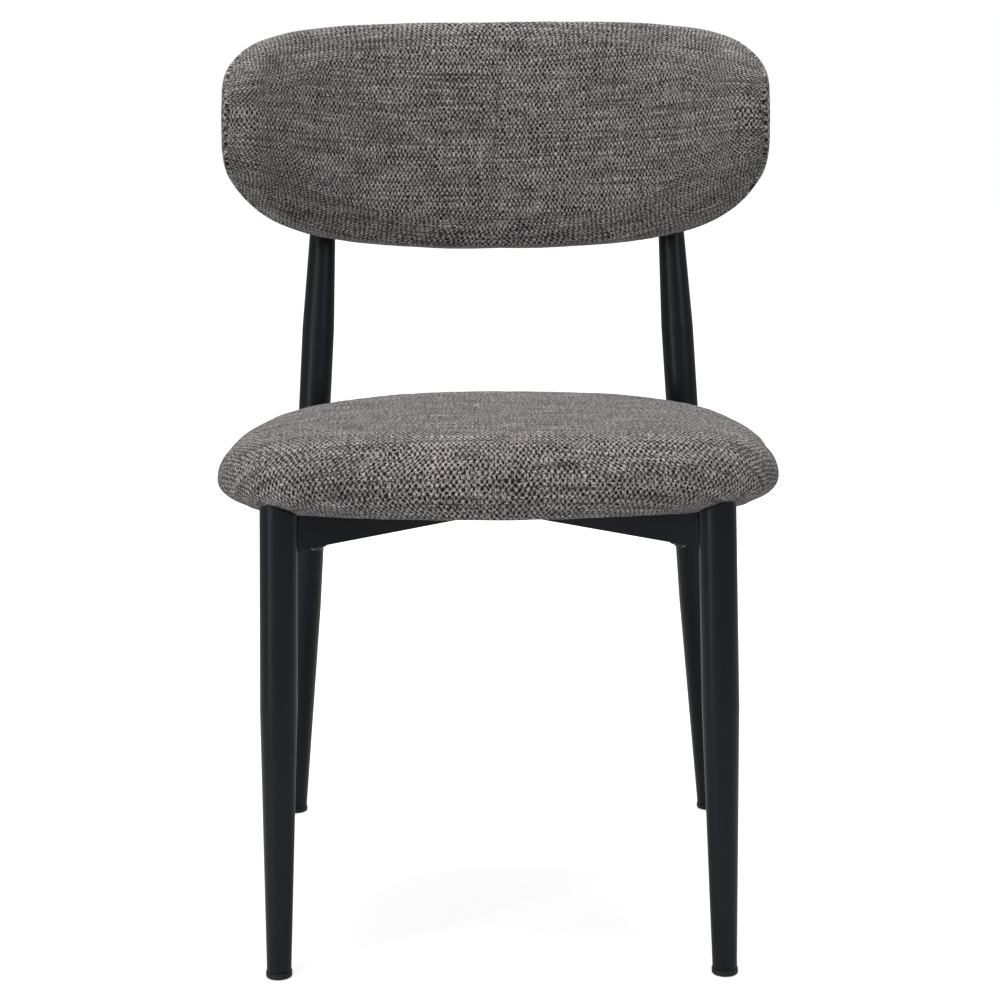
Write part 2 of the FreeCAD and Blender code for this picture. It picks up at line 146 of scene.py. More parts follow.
class MetalLook(bpy.types.PropertyGroup):
    """Powder coat on the tubes and rails"""

    coat: FloatVectorProperty(
        name="Coat", description="Colour of the powder coat", subtype="COLOR", size=3,
        default=(0.0068, 0.0085, 0.0125), min=0.0, max=1.0)
    bead: FloatProperty(
        name="Weld bead", description="Radius of each weld bead", default=1.7 * MM, unit="LENGTH")
    staple_gap: FloatProperty(
        name="Staple gap", description="Distance from staple to staple", default=24 * MM, unit="LENGTH")


class StageLook(bpy.types.PropertyGroup):
    """Camera and light"""

    distance: FloatProperty(
        name="Distance", description="Front feet to the camera, over the floor", default=1.8265, unit="LENGTH")
    height: FloatProperty(
        name="Height", description="Camera above the floor", default=0.7422, unit="LENGTH")
    pitch: FloatProperty(
        name="Pitch", description="Downward look", default=math.radians(10.575), unit="ROTATION")
    yaw: FloatProperty(
        name="Yaw", description="Turn of the camera to its left", default=0.0027, unit="ROTATION")
    aside: FloatProperty(
        name="Aside", description="Camera's place to the right of the chair's middle", default=0.0067, unit="LENGTH")
    roll: FloatProperty(
        name="Roll", description="Sideways lean of the camera", default=-0.0088, unit="ROTATION")
    lens: FloatProperty(
        name="Lens", description="Focal length in millimetres", default=80.27)
    floor: FloatVectorProperty(
        name="Floor", description="Colour of the floor", subtype="COLOR", size=3,
        default=(0.76, 0.76, 0.76), min=0.0, max=1.0)
    glow: FloatProperty(
        name="Glow", description="Whiteness that the floor shows round the feet", default=0.62)


# ---- Wiring of shader nodes

class Wiring:
    """Adds nodes to one tree and joins them."""

    def __init__(self, tree):
        self.tree = tree

    def node(self, kind, inputs=(), **settings):
        made = self.tree.nodes.new(kind)
        for name, value in settings.items():
            setattr(made, name, value)
        for key, value in dict(inputs).items():
            if isinstance(value, bpy.types.NodeSocket):
                self.tree.links.new(value, made.inputs[key])
            else:
                made.inputs[key].default_value = value
        return made

    def math(self, operation, *values, clamp=False):
        made = self.node("ShaderNodeMath", dict(enumerate(values)), operation=operation, use_clamp=clamp)
        return made.outputs[0]

    def vector(self, operation, *values):
        made = self.node("ShaderNodeVectorMath", dict(enumerate(values)), operation=operation)
        return made.outputs[0]

    def ramp(self, value, low, high, to_low=0.0, to_high=1.0, smooth=True):
        """The value's range from low to high, as to_low to to_high."""
        made = self.node("ShaderNodeMapRange", {0: value, 1: low, 2: high, 3: to_low, 4: to_high})
        made.interpolation_type = "SMOOTHSTEP" if smooth else "LINEAR"
        return made.outputs[0]

    def noise(self, place, scale, detail=2.0, roughness=0.5):
        made = self.node("ShaderNodeTexNoise", {"Vector": place, "Scale": scale, "Detail": detail,
                                                "Roughness": roughness})
        return made.outputs[0]

    def blend(self, share, first, second, kind="MIX"):
        made = self.node("ShaderNodeMix", data_type="RGBA", blend_type=kind)
        for index, value in ((0, share), (6, first), (7, second)):
            if isinstance(value, bpy.types.NodeSocket):
                self.tree.links.new(value, made.inputs[index])
            else:
                made.inputs[index].default_value = value
        return made.outputs[2]


def new_group(name, inputs, outputs):
    """Empty shader group with named sockets; returns it, its wiring, its inputs and its output node."""
    group = bpy.data.node_groups.new(name, "ShaderNodeTree")
    for label, kind in inputs:
        group.interface.new_socket(name=label, in_out="INPUT", socket_type=kind)
    for label, kind in outputs:
        group.interface.new_socket(name=label, in_out="OUTPUT", socket_type=kind)
    wires = Wiring(group)
    source = group.nodes.new("NodeGroupInput").outputs
    target = group.nodes.new("NodeGroupOutput")
    return group, wires, source, target.inputs


FLOAT, COLOR, VECTOR = "NodeSocketFloat", "NodeSocketColor", "NodeSocketVector"


def weave_group():
    """Chunky basket weave: light floats with dark oval gaps between them, staggered from row to row; the gaps hold
    painted shade and each float's crown a painted highlight.
    """
    group, w, source, target = new_group(
        "chunky_weave",
        [("Cloth", VECTOR), ("Pitch", FLOAT), ("Row", FLOAT), ("Light", COLOR), ("Dark", COLOR)],
        [("Color", COLOR), ("Height", FLOAT), ("Roughness", FLOAT)])
    cloth = source["Cloth"]
    wander = w.node("ShaderNodeTexNoise", {"Vector": cloth, "Scale": 150.0, "Detail": 2.0}).outputs["Color"]
    wander = w.vector("SUBTRACT", wander, (0.5, 0.5, 0.5))
    sway = w.node("ShaderNodeTexNoise", {"Vector": cloth, "Scale": 38.0, "Detail": 1.0}).outputs["Color"]
    sway = w.vector("SUBTRACT", sway, (0.5, 0.5, 0.5))
    shifted = w.vector("ADD", cloth, w.vector("MULTIPLY", wander, (0.0052, 0.0046, 0.0)))
    shifted = w.vector("ADD", shifted, w.vector("MULTIPLY", sway, (0.0050, 0.0060, 0.0)))
    axes = w.node("ShaderNodeSeparateXYZ", {0: shifted}).outputs
    across = w.math("DIVIDE", axes[0], source["Pitch"])
    up = w.math("DIVIDE", axes[1], source["Row"])
    row = w.math("FLOOR", up)
    in_row = w.math("SUBTRACT", w.math("SUBTRACT", up, row), 0.5)
    odd = w.math("FLOORED_MODULO", row, 2.0)
    stagger = w.math("ADD", across, w.math("MULTIPLY", odd, 0.5))
    column = w.math("ROUND", stagger)
    from_gap = w.math("SUBTRACT", stagger, column)
    cell = w.node("ShaderNodeCombineXYZ", {0: column, 1: row, 2: 0.0}).outputs[0]
    luck = w.node("ShaderNodeTexWhiteNoise", {"Vector": cell}, noise_dimensions="3D")
    tone, size = luck.outputs["Value"], w.node("ShaderNodeSeparateXYZ", {0: luck.outputs["Color"]}).outputs
    # Gap: an upright oval, wider in some places than in others, darkened with painted shade.
    wide = w.math("ADD", 0.11, w.math("MULTIPLY", size[0], 0.14))
    tall = w.math("ADD", 0.30, w.math("MULTIPLY", size[1], 0.30))
    aside = w.math("POWER", w.math("DIVIDE", from_gap, wide), 2.0)
    above = w.math("POWER", w.math("DIVIDE", in_row, tall), 2.0)
    oval = w.math("EXPONENT", w.math("MULTIPLY", w.math("ADD", aside, above), -1.0))
    # Yarn: a painted highlight on the crown of each float, hairs and curls, slubs along the rows, and slow patches
    # where the painted gap shade closes up.
    hairs = w.noise(w.vector("MULTIPLY", cloth, (1.0, 0.8, 1.0)), 900.0, 2.0, 0.8)
    curls = w.noise(cloth, 520.0, 1.0, 0.6)
    slub = w.noise(w.vector("MULTIPLY", cloth, (12.0, 390.0, 1.0)), 1.0, 2.0)
    warp = w.noise(w.vector("MULTIPLY", cloth, (620.0, 22.0, 1.0)), 1.0, 2.0)
    patch = w.noise(w.vector("MULTIPLY", cloth, (1.0, 2.2, 1.0)), 34.0, 3.0)
    open_share = w.ramp(w.math("ADD", patch, w.math("MULTIPLY", w.math("SUBTRACT", slub, 0.5), 0.7)),
                        0.33, 0.62, 0.62, 1.55)
    gap = w.math("MULTIPLY", oval, open_share)
    gap = w.math("ADD", gap, w.math("MULTIPLY", w.math("SUBTRACT", curls, 0.5), 2.3))
    # Mask of the painted gap shade.
    gap_shade_mask = w.ramp(gap, 0.16, 0.60)
    # Painted highlight: each float is lighter in its middle and darker towards its edges, as light falls on its rounded
    # crown.
    to_float = w.math("SUBTRACT", 0.5, w.math("ABSOLUTE", from_gap))
    swell = w.math("ADD", w.math("POWER", w.math("DIVIDE", to_float, 0.30), 2.0),
                   w.math("POWER", w.math("DIVIDE", in_row, 0.42), 2.0))
    swell = w.math("EXPONENT", w.math("MULTIPLY", swell, -1.0))
    level = w.math("ADD", 0.52, w.math("MULTIPLY", swell, 0.62))
    level = w.math("ADD", level, w.math("MULTIPLY", w.math("SUBTRACT", tone, 0.5), 0.38))
    for part, weight in ((hairs, 5.6), (curls, 2.6), (slub, 2.9), (warp, 1.7), (patch, -0.3)):
        level = w.math("ADD", level, w.math("MULTIPLY", w.math("SUBTRACT", part, 0.5), weight))
    level = w.math("MAXIMUM", level, 0.10)
    bright = w.node("ShaderNodeVectorMath", {0: source["Light"], "Scale": level}, operation="SCALE").outputs[0]
    warm = w.ramp(w.noise(cloth, 60.0, 2.0), 0.35, 0.65, 0.0, 1.0)
    bright = w.blend(warm, bright, w.vector("MULTIPLY", bright, (1.02, 1.0, 0.965)))
    # Painted shade: the yarn colour gives way to the gap colour inside each oval.
    w.tree.links.new(w.blend(gap_shade_mask, bright, source["Dark"]), target["Color"])
    lift = w.math("SUBTRACT", 1.0, w.math("MINIMUM", w.math("MAXIMUM", gap, 0.0), 1.0))
    lift = w.math("SUBTRACT", lift, w.math("MULTIPLY", w.math("POWER", w.math("MULTIPLY", in_row, 2.0), 2.0), 0.25))
    w.tree.links.new(w.math("ADD", lift, w.math("MULTIPLY", hairs, 0.45)), target["Height"])
    w.tree.links.new(w.ramp(gap_shade_mask, 0.0, 1.0, 0.86, 0.97, smooth=False), target["Roughness"])
    return group


def grain_group():
    """Fine grain of a sprayed or moulded surface: slow tone, speckle and a shallow relief."""
    group, w, source, target = new_group(
        "fine_grain",
        [("Place", VECTOR), ("Grain", FLOAT), ("Base", COLOR), ("Change", FLOAT), ("Gloss", FLOAT)],
        [("Color", COLOR), ("Height", FLOAT), ("Roughness", FLOAT)])
    place = source["Place"]
    fine = w.node("ShaderNodeTexNoise", {"Vector": place, "Scale": source["Grain"], "Detail": 3.0}).outputs[0]
    slow = w.noise(place, 9.0, 3.0)
    speck = w.ramp(w.noise(place, 2600.0, 1.0), 0.60, 0.80)
    level = w.math("ADD", w.math("SUBTRACT", slow, 0.5), w.math("MULTIPLY", w.math("SUBTRACT", fine, 0.5), 0.8))
    level = w.math("ADD", 1.0, w.math("MULTIPLY", level, source["Change"]))
    level = w.math("ADD", level, w.math("MULTIPLY", speck, w.math("MULTIPLY", source["Change"], 0.8)))
    tinted = w.node("ShaderNodeVectorMath", {0: source["Base"], "Scale": level}, operation="SCALE").outputs[0]
    w.tree.links.new(tinted, target["Color"])
    w.tree.links.new(w.math("ADD", fine, w.math("MULTIPLY", slow, 0.4)), target["Height"])
    rough = w.math("ADD", source["Gloss"], w.math("MULTIPLY", w.math("SUBTRACT", fine, 0.5), 0.16))
    w.tree.links.new(w.math("ADD", rough, w.math("MULTIPLY", w.math("SUBTRACT", slow, 0.5), 0.14)),
                     target["Roughness"])
    return group


GROUPS = {}


def shared_group(name):
    if name not in GROUPS:
        GROUPS[name] = {"chunky_weave": weave_group, "fine_grain": grain_group}[name]()
    return GROUPS[name]


def material(name):
    """New node material: returns it, its wiring and its Principled BSDF."""
    made = bpy.data.materials.new(name)
    made.use_nodes = True
    return made, Wiring(made.node_tree), made.node_tree.nodes["Principled BSDF"]


def fabric_material(name, look, light):
    made, w, shader = material(name)
    cloth = w.node("ShaderNodeUVMap", uv_map="cloth").outputs[0]
    weave = w.node("ShaderNodeGroup", node_tree=shared_group("chunky_weave"))
    w.tree.links.new(cloth, weave.inputs["Cloth"])
    weave.inputs["Pitch"].default_value = look.pitch
    weave.inputs["Row"].default_value = look.row
    weave.inputs["Light"].default_value = (*light, 1.0)
    # The gap colour is painted shade for the holes in the weave.
    weave.inputs["Dark"].default_value = (*look.dark, 1.0)
    bump = w.node("ShaderNodeBump", {"Height": weave.outputs["Height"], "Distance": look.relief, "Strength": 0.9})
    w.tree.links.new(weave.outputs["Color"], shader.inputs["Base Color"])
    w.tree.links.new(weave.outputs["Roughness"], shader.inputs["Roughness"])
    w.tree.links.new(bump.outputs[0], shader.inputs["Normal"])
    shader.inputs["Specular IOR Level"].default_value = 0.18
    shader.inputs["Sheen Weight"].default_value = 0.12
    shader.inputs["Sheen Roughness"].default_value = 0.5
    return made


def grained_material(name, base, grain, change, gloss, relief, metallic=0.0, specular=0.5):
    """Painted, plated, moulded or fibrous surface on Object coordinates."""
    made, w, shader = material(name)
    place = w.node("ShaderNodeTexCoord").outputs["Object"]
    grains = w.node("ShaderNodeGroup", node_tree=shared_group("fine_grain"))
    w.tree.links.new(place, grains.inputs["Place"])
    grains.inputs["Grain"].default_value = grain
    grains.inputs["Base"].default_value = (*base, 1.0)
    grains.inputs["Change"].default_value = change
    grains.inputs["Gloss"].default_value = gloss
    bump = w.node("ShaderNodeBump", {"Height": grains.outputs["Height"], "Distance": relief, "Strength": 1.0})
    w.tree.links.new(grains.outputs["Color"], shader.inputs["Base Color"])
    w.tree.links.new(grains.outputs["Roughness"], shader.inputs["Roughness"])
    w.tree.links.new(bump.outputs[0], shader.inputs["Normal"])
    shader.inputs["Metallic"].default_value = metallic
    shader.inputs["Specular IOR Level"].default_value = specular
    return made


def plywood_material():
    made, w, shader = material("plywood")
    place = w.node("ShaderNodeTexCoord").outputs["Object"]
    veneer = w.noise(w.vector("MULTIPLY", place, (6.0, 180.0, 6.0)), 1.0, 4.0, 0.6)
    plies = w.math("SINE", w.math("MULTIPLY", w.node("ShaderNodeSeparateXYZ", {0: place}).outputs[2], 2600.0))
    tone = w.math("ADD", veneer, w.math("MULTIPLY", plies, 0.08))
    colour = w.blend(tone, (0.30, 0.19, 0.10, 1.0), (0.62, 0.46, 0.29, 1.0))
    w.tree.links.new(colour, shader.inputs["Base Color"])
    w.tree.links.new(w.ramp(veneer, 0.0, 1.0, 0.55, 0.8), shader.inputs["Roughness"])
    bump = w.node("ShaderNodeBump", {"Height": veneer, "Distance": 0.0002, "Strength": 1.0})
    w.tree.links.new(bump.outputs[0], shader.inputs["Normal"])
    return made


# ---- Padded pieces

def spread(power_front, power_rear, reach_x, reach_front, reach_rear, count):
    """Angles round a rounded outline, evenly spaced along its length."""
    angles = np.linspace(0, 2 * np.pi, 4001)
    x, y = outline(angles, power_front, power_rear, reach_x, reach_front, reach_rear)
    walked = np.concatenate([[0], np.cumsum(np.hypot(np.diff(x), np.diff(y)))])
    return np.interp(np.linspace(0, walked[-1], count, endpoint=False), walked, angles)


def outline(angles, power_front, power_rear, reach_x, reach_front, reach_rear):
    """Closed outline whose two halves are powers of a circle: front is below zero, rear above."""
    c, s = np.cos(angles), np.sin(angles)
    power = np.where(s < 0, 2 / power_front, 2 / power_rear)
    reach = np.where(s < 0, reach_front, reach_rear)
    x = reach_x * np.sign(c) * np.abs(c) ** power
    y = reach * np.sign(s) * np.abs(s) ** power
    return x, y


def outward(x, y):
    """Outward normals of a closed outline walked anticlockwise."""
    dx = np.roll(x, -1) - np.roll(x, 1)
    dy = np.roll(y, -1) - np.roll(y, 1)
    length = np.hypot(dx, dy)
    return dy / length, -dx / length


def ringed_mesh(name, rings, cloth, second=None, second_rows=0):
    """Closed mesh from an array of rings of points, each end closed over in ever fewer points. cloth holds the
    fabric's own coordinates of every point, and second those of the first rows, where another panel is sewn on."""
    rows, count = rings.shape[:2]
    points, flat, faces = [rings.reshape(-1, 3)], [cloth.reshape(-1, 2)], []
    for row in range(rows - 1):
        for column in range(count):
            step = (column + 1) % count
            low, high = row * count, (row + 1) * count
            faces.append((low + column, low + step, high + step, high + column))
    total = rows * count
    for row in (0, rows - 1):
        middle, middle_flat = rings[row].mean(0), cloth[row].mean(0)
        around, every, share = list(range(row * count, (row + 1) * count)), 4, 0.7
        while len(around) > 15:
            inner = list(range(total, total + len(around) // every))
            total += len(inner)
            places = np.arange(0, count, count // len(inner))
            points.append(middle + (rings[row][places] - middle) * share)
            flat.append(middle_flat + (cloth[row][places] - middle_flat) * share)
            for index in range(len(inner)):
                begin = index * every
                outer = [around[(begin + k) % len(around)] for k in range(every + 1)]
                face = outer + [inner[(index + 1) % len(inner)], inner[index]]
                faces.append(tuple(face if row else face[::-1]))
            around, share = inner, share * 0.5
        points.append(middle[None])
        flat.append(middle_flat[None])
        for index, corner in enumerate(around):
            face = (corner, around[(index + 1) % len(around)], total)
            faces.append(face if row else face[::-1])
        total += 1
    # Rows run from the first end to the last, so quads between them face outwards as they are.
    points, flat = np.concatenate(points), np.concatenate(flat)
    if second is not None:
        other = flat.copy()
        other[:second_rows * count + count] = second.reshape(-1, 2)
        other[rows * count:] += second[0].mean(0) - cloth[0].mean(0)
    uv = []
    for face in faces:
        table = flat
        if second is not None and (min(face) < second_rows * count or
                                   rows * count <= min(face) and max(face) < rows * count + count // 3):
            table = other
        uv.extend(table[corner] for corner in face)
    mesh = bpy.data.meshes.new(name)
    mesh.from_pydata(points.tolist(), [], faces)
    layer = mesh.uv_layers.new(name="cloth")
    layer.data.foreach_set("uv", np.array(uv, dtype=np.float32).ravel())
    piece = bpy.data.objects.new(name, mesh)
    bpy.context.scene.collection.objects.link(piece)
    return piece


def twice_as_fine(moves):
    """The same moves on a grid twice as fine: columns go round, rows stop at both ends."""
    right = np.roll(moves, -1, axis=1)
    between = (9 * (moves + right) - np.roll(moves, 1, axis=1) - np.roll(moves, -2, axis=1)) / 16
    wide = np.stack([moves, between], axis=2).reshape(len(moves), -1, 3)
    padded = np.concatenate([wide[:1], wide, wide[-1:]])
    rows = (9 * (padded[1:-2] + padded[2:-1]) - padded[:-3] - padded[3:]) / 16
    tall = np.empty((2 * len(wide) - 1, *wide.shape[1:]))
    tall[::2], tall[1::2] = wide, rows
    return tall


def only(piece):
    """Selects one piece alone and makes it active."""
    bpy.ops.object.select_all(action="DESELECT")
    piece.select_set(True)
    bpy.context.view_layer.objects.active = piece


def points_of(mesh):
    flat = np.zeros(len(mesh.vertices) * 3, np.float32)
    mesh.vertices.foreach_get("co", flat)
    return flat.reshape(-1, 3)


def puffed(rings, held_rows, cap, pressure=4.0, frames=20):
    """Blows the fabric up from inside on every second point of the grid, and returns the moved grid. The first
    held_rows rows stay where they are, and no point moves more than cap."""
    coarse = rings[::2, ::2]
    rows, count = coarse.shape[:2]
    piece = ringed_mesh("puffing", coarse, coarse[:, :, :2])
    group = piece.vertex_groups.new(name="held")
    group.add(list(range(held_rows // 2 * count)), 1.0, "REPLACE")
    cloth = piece.modifiers.new("Cloth", "CLOTH")
    settings = cloth.settings
    settings.vertex_group_mass = "held"
    settings.use_pressure = True
    settings.uniform_pressure_force = pressure
    settings.effector_weights.gravity = 0.0
    settings.tension_stiffness = settings.compression_stiffness = 25.0
    settings.bending_stiffness = 1.5
    scene = bpy.context.scene
    for step in range(1, frames + 1):
        scene.frame_set(step)
    after = points_of(piece.evaluated_get(bpy.context.evaluated_depsgraph_get()).data)
    moves = after[:rows * count].reshape(rows, count, 3) - coarse
    length = np.linalg.norm(moves, axis=2, keepdims=True)
    moves = moves * cap * np.tanh(length / cap) / np.maximum(length, 1e-9)
    bpy.data.objects.remove(piece)
    scene.frame_set(1)
    print("largest move", float(length.max()))
    return rings + twice_as_fine(moves)


def settle(piece, seed, amount):
    """Shallow unevenness of hand-pulled fabric over foam, along the surface's normals."""
    normals = np.array([v.normal for v in piece.data.vertices])
    place = points_of(piece.data)
    rng = np.random.default_rng(seed)
    lift = np.zeros(len(place))
    for wave, share in ((0.09, 0.55), (0.045, 0.3), (0.022, 0.15)):
        for _ in range(6):
            direction = rng.normal(size=3)
            direction *= 2 * np.pi / wave / np.linalg.norm(direction)
            lift += share / 6 * 1.7 * np.sin(place @ direction + rng.uniform(0, 2 * np.pi))
    piece.data.vertices.foreach_set("co", (place + normals * (lift * amount)[:, None]).astype(np.float32).ravel())
    piece.data.update()


def finish_pad(piece):
    only(piece)
    bpy.ops.object.shade_smooth()


def seat_rings(sizes):
    """Grid of the seat cushion, from the middle of its underside round the edge to the crown."""
    middle = SEAT_LOW.y + sizes.widest_setback
    front, rear = sizes.widest_setback, SEAT_HIGH.y - middle
    bottom = SEAT_LOW.z
    widest = bottom + sizes.bulge_height
    upper = SEAT_HIGH.z - sizes.crown - widest
    angles = spread(sizes.front_squareness, sizes.rear_squareness, sizes.width / 2, front, rear, COLUMNS)
    gathers = np.maximum(np.cos(angles * 84), 0) ** 3 * np.abs(np.sin(2 * angles))

    def ring(share, height, inset=0.0, gather=0.0):
        x, y = outline(angles, sizes.front_squareness, sizes.rear_squareness,
                       sizes.width / 2 - inset, front - inset, rear - inset)
        return np.column_stack([x * share, middle + y * share, height - gathers * gather])

    tucked = sizes.lower_round + sizes.hem
    rings = [ring(share, bottom + 1.2 * MM, tucked + 1.5 * MM) for share in np.linspace(0.06, 1.0, 9)]
    for place in np.linspace(0, 1, 13):
        rings.append(ring(1.0, bottom, tucked - sizes.hem * place, 0.7 * MM * math.sin(math.pi * min(place + 0.25, 1))))
    for turn in np.radians(np.linspace(82, 4, 21)):
        tuck = sizes.lower_round * (1 - math.cos(turn))
        rings.append(ring(1.0, widest - sizes.bulge_height * math.sin(turn), tuck))
    for turn in np.radians(np.linspace(0, 80, 41)):
        rise = math.sin(turn)
        share = (1 - rise ** 2) ** (1 / sizes.upper_squareness)
        rings.append(ring(share, widest + upper * rise + sizes.crown * (1 - share ** 2)))
    for share in np.linspace(share, 0.04, 60)[1:]:
        rings.append(ring(share, widest + upper + sizes.crown * (1 - share ** 2)))
    return np.array(rings)


def draped(rings, start, plan):
    """The fabric's own coordinates: as plan from row start on, and before it down over the edge."""
    nx, ny = outward(plan[start][:, 0], plan[start][:, 1])
    cloth = plan.copy()
    walked = np.zeros(COLUMNS)
    for index in range(start - 1, -1, -1):
        walked = walked + np.linalg.norm(rings[index] - rings[index + 1], axis=1)
        cloth[index] = plan[start] + np.column_stack([nx, ny]) * walked[:, None]
    return cloth


def pad_rings(sizes):
    """Grid of the backrest pad from the middle of its rear face over the rim to the middle of its front face,
    its layout on the fabric, and the number of rows before the rim."""
    half = sizes.thickness / 2
    radius = sizes.inner_radius + half
    round_start = math.asin((sizes.width / 2 - half) / radius)
    tip = round_start + half / radius
    powers = (sizes.lower_squareness, sizes.upper_squareness)
    reach = tip * radius
    angles = spread(*powers, reach, sizes.drop, sizes.rise, COLUMNS)
    edge = sizes.edge_squareness
    x, y = outline(angles, *powers, reach, sizes.drop, sizes.rise)

    def thickness(along, height):
        """Half thickness of the pad at a place on its middle surface."""
        share = np.minimum(np.abs(along) / reach, 1.0)
        up = sizes.rise * np.maximum(1 - share ** powers[1], 1e-9) ** (1 / powers[1])
        down = sizes.drop * np.maximum(1 - share ** powers[0], 1e-9) ** (1 / powers[0])
        into = np.maximum(np.abs(along) / radius - round_start, 0) / (tip - round_start)
        across = np.minimum(np.abs(height - (up - down) / 2) / ((up + down) / 2), 1.0)
        return half * np.sqrt(np.maximum(1 - into ** 2, 0)) * np.maximum(1 - across ** edge, 0) ** (1 / edge)

    lean = np.array(Matrix.Rotation(-sizes.tilt, 3, "X"))

    def ring(share, side):
        along, height = x * share, y * share
        out = radius + side * thickness(along, height)
        turn = along / radius
        return np.column_stack([out * np.sin(turn), out * np.cos(turn), height]) @ lean.T

    shares = list(np.linspace(0.04, 0.757, 40))
    shares += [(1 - t ** edge) ** (1 / edge) for t in np.linspace(0.90, 0.06, 26)]
    rings = np.array([ring(share, 1) for share in shares] + [ring(1.0, 0)] +
                     [ring(share, -1) for share in reversed(shares)])
    rings += [0.0, BACK_HIGH.y - rings[:, :, 1].max(), BACK_HIGH.z - rings[:, :, 2].max()]
    plan = np.array([np.column_stack([x * share, y * share]) for share in shares + [1.0] + shares[::-1]])
    return rings, plan, len(shares)


def sew(rings, seam, depth):
    """Draws the fabric in along one row of the grid, and lets it swell a little on both sides."""
    across = np.roll(rings, -1, axis=1) - np.roll(rings, 1, axis=1)
    along = np.gradient(rings, axis=0)
    normals = np.cross(across, along)
    normals /= np.maximum(np.linalg.norm(normals, axis=2, keepdims=True), 1e-9)
    for offset, share in ((0, 1.0), (1, 0.25), (-1, 0.25), (2, -0.2), (-2, -0.2), (3, -0.1), (-3, -0.1)):
        rings[seam + offset] -= normals[seam + offset] * depth * share
    return rings


class CHAIR_OT_seat_cushion(bpy.types.Operator):
    """Seat cushion: woven fabric pulled over foam and turned in under the board"""

    bl_idname = "chair.seat_cushion"
    bl_label = "Seat cushion"

    def execute(self, context):
        sizes, look = context.scene.chair_seat, context.scene.chair_fabric
        rings = seat_rings(sizes)
        rim = 9 + 13 + 21 + 26
        cloth = draped(rings, rim, rings[:, :, :2])
        rings = puffed(rings, 9 + 13 + 4, sizes.puff)
        piece = ringed_mesh("seat_cushion", rings, cloth)
        settle(piece, 3, 0.8 * MM)
        finish_pad(piece)
        piece.data.materials.append(fabric_material("woven_fabric_seat", look, look.light))
        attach(piece, "root")
        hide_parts("seat_cover", "seat_foam")
        return {"FINISHED"}


class CHAIR_OT_back_pad(bpy.types.Operator):
    """Curved backrest pad: one panel of woven fabric over the front and the edge, sewn to one behind"""

    bl_idname = "chair.back_pad"
    bl_label = "Backrest pad"

    def execute(self, context):
        sizes, look = context.scene.chair_back, context.scene.chair_fabric
        rings, plan, rim = pad_rings(sizes)
        cloth = draped(rings, rim + 27, plan)
        seam = rim - 8
        rings = puffed(rings, 0, sizes.puff)
        rings = sew(rings, seam, 1.6 * MM)
        behind = plan[:seam + 1] + [0.0, 0.9]
        piece = ringed_mesh("back_pad", rings, cloth, behind, seam)
        settle(piece, 8, 0.6 * MM)
        finish_pad(piece)
        # Painted shade: the backrest's yarn is the seat's yarn at 0.90 of its brightness, a darker copy that stands in
        # for the lower light on the back.
        piece.data.materials.append(fabric_material("woven_fabric_back", look, [0.90 * value for value in look.light]))
        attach(piece, "root")
        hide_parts("back_cover", "back_foam")
        return {"FINISHED"}


def open_edit(piece):
    """Edit mode on one piece alone, with nothing selected."""
    only(piece)
    bpy.ops.object.mode_set(mode="EDIT")
    bpy.ops.mesh.select_all(action="DESELECT")
    bpy.ops.object.mode_set(mode="OBJECT")


def pick(piece, kind, wanted):
    """Selects the points, edges or faces that pass a test, and opens edit mode."""
    open_edit(piece)
    for item in getattr(piece.data, kind):
        item.select = wanted(item)
    bpy.context.tool_settings.mesh_select_mode = tuple(kind == k for k in ("vertices", "edges", "polygons"))
    bpy.ops.object.mode_set(mode="EDIT")


def straight_bead(radius, length, ripples):
    """Weld bead along Z: a rod with rounded ends and the ripple of a hand weld."""
    bpy.ops.mesh.primitive_cylinder_add(vertices=10, radius=radius, depth=length)
    bead = bpy.context.object
    z = [v.co.z for v in bead.data.vertices]
    pick(bead, "edges", lambda e: abs(z[e.vertices[0]] - z[e.vertices[1]]) > length / 2)
    bpy.ops.mesh.subdivide(number_cuts=2 * ripples + 1)
    bpy.ops.object.mode_set(mode="OBJECT")
    step = length / (2 * ripples + 2)
    pick(bead, "vertices", lambda v: round((v.co.z + length / 2) / step) % 2 == 1)
    bpy.ops.transform.resize(value=(0.78, 0.78, 1.0))
    bpy.ops.object.mode_set(mode="OBJECT")
    pick(bead, "vertices", lambda v: abs(v.co.z) > length / 2 - step / 2)
    bpy.ops.transform.resize(value=(0.35, 0.35, 1.0))
    bpy.ops.object.mode_set(mode="OBJECT")
    return bead


def curved_bead(radius, around, half_angle):
    """Weld bead round a tube, as an arc about +X in the XY plane."""
    bpy.ops.mesh.primitive_torus_add(major_radius=around, minor_radius=radius, major_segments=44, minor_segments=8)
    bead = bpy.context.object
    pick(bead, "vertices", lambda v: abs(math.atan2(v.co.y, v.co.x)) > half_angle)
    bpy.ops.mesh.delete(type="VERT")
    bpy.ops.mesh.select_all(action="SELECT")
    bpy.ops.mesh.fill_holes(sides=0)
    bpy.ops.object.mode_set(mode="OBJECT")
    pick(bead, "vertices", lambda v: round(math.degrees(math.atan2(v.co.y, v.co.x)) / 8.2) % 2 == 1)
    bpy.ops.transform.resize(value=(1.0, 1.0, 0.82))
    bpy.ops.object.mode_set(mode="OBJECT")
    return bead


def copied(piece, matrix):
    """A copy with its own mesh, put in place."""
    twin = bpy.data.objects.new(piece.name, piece.data.copy())
    bpy.context.scene.collection.objects.link(twin)
    twin.data.transform(matrix)
    return twin


